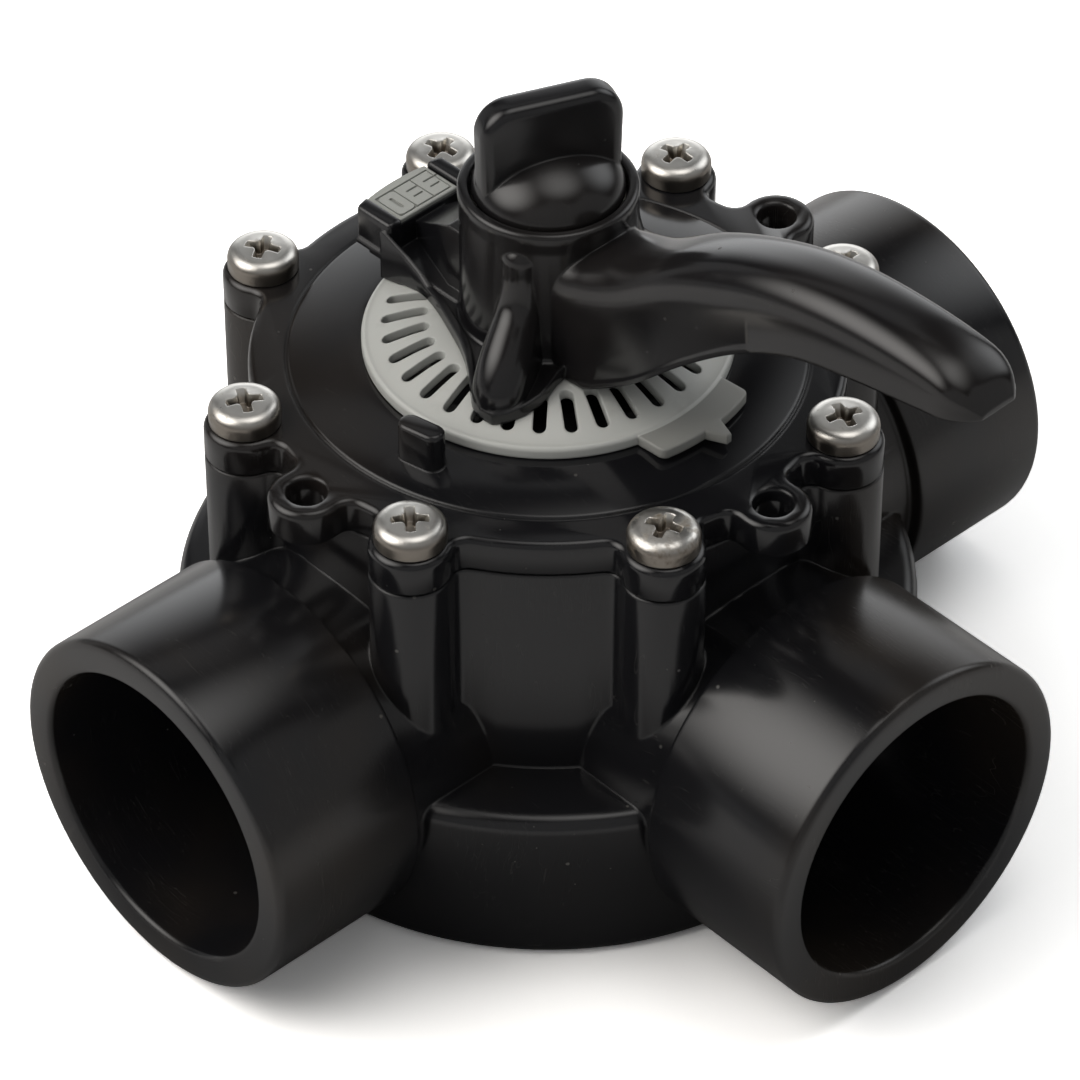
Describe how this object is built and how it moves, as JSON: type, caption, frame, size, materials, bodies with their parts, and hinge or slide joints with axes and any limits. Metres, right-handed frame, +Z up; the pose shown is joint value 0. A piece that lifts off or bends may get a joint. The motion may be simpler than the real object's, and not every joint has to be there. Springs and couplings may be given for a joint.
{
  "type": "three way diverter valve",
  "caption": "Pool diverter valve: T body with slip sockets, screwed lid, curved lever handle on a slotted stop ring, and a locking knob over the shaft.",
  "frame": {"origin": "centre of the flat underside of the body, on the axis that the handle turns about", "axes": "+Z up along the handle's axis; the through run lies along X and the branch port points to -Y"},
  "size_m": [0.2048, 0.1862, 0.1567],
  "materials": {
    "body_plastic": "satin moulded ABS",
    "lid_plastic": "polished moulded ABS",
    "handle_plastic": "polished moulded ABS",
    "knob_plastic": "polished moulded ABS",
    "ring_plastic": "light grey moulded plastic",
    "label_plastic": "light grey moulded plastic",
    "rotor_plastic": "moulded",
    "nylon": "moulded",
    "rubber": "moulded, greased",
    "stainless": "bright, slightly tarnished"
  },
  "bodies": {
    "valve": {"valve_body": "body_plastic", "lid": "lid_plastic", "lid_o_ring": "rubber", "lid_screw_1": "stainless", "lid_screw_2": "stainless", "lid_screw_3": "stainless", "lid_screw_4": "stainless", "lid_screw_5": "stainless", "lid_screw_6": "stainless", "lid_screw_7": "stainless", "lid_screw_8": "stainless"},
    "rotor": {"diverter": "rotor_plastic", "diverter_seal": "rubber", "shaft_o_ring_lower": "rubber", "shaft_o_ring_upper": "rubber", "thrust_washer": "nylon", "stop_ring": "ring_plastic", "handle": "handle_plastic", "off_label": "label_plastic"},
    "knob_washer": {"knob_washer": "nylon"},
    "knob": {"knob": "knob_plastic"}
  },
  "joints": [
    {"name": "handle_turn", "type": "hinge", "parent": "valve", "child": "rotor", "pos_m": [0, 0, 0.104], "axis": [0, 0, 1], "range_deg": [-58, 254]},
    {"name": "knob_lift", "type": "slide", "parent": "rotor", "child": "knob_washer", "axis": [0, 0, 1], "range_m": [0, 0.009]},
    {"name": "knob_turn", "type": "hinge", "parent": "knob_washer", "child": "knob", "pos_m": [0, 0, 0.134], "axis": [0, 0, 1], "range_deg": [0, 1080]}
  ],
  "couplings": [
    {"joint": "knob_turn", "follows": "knob_lift", "rad_per_m": 2094.4}
  ]
}
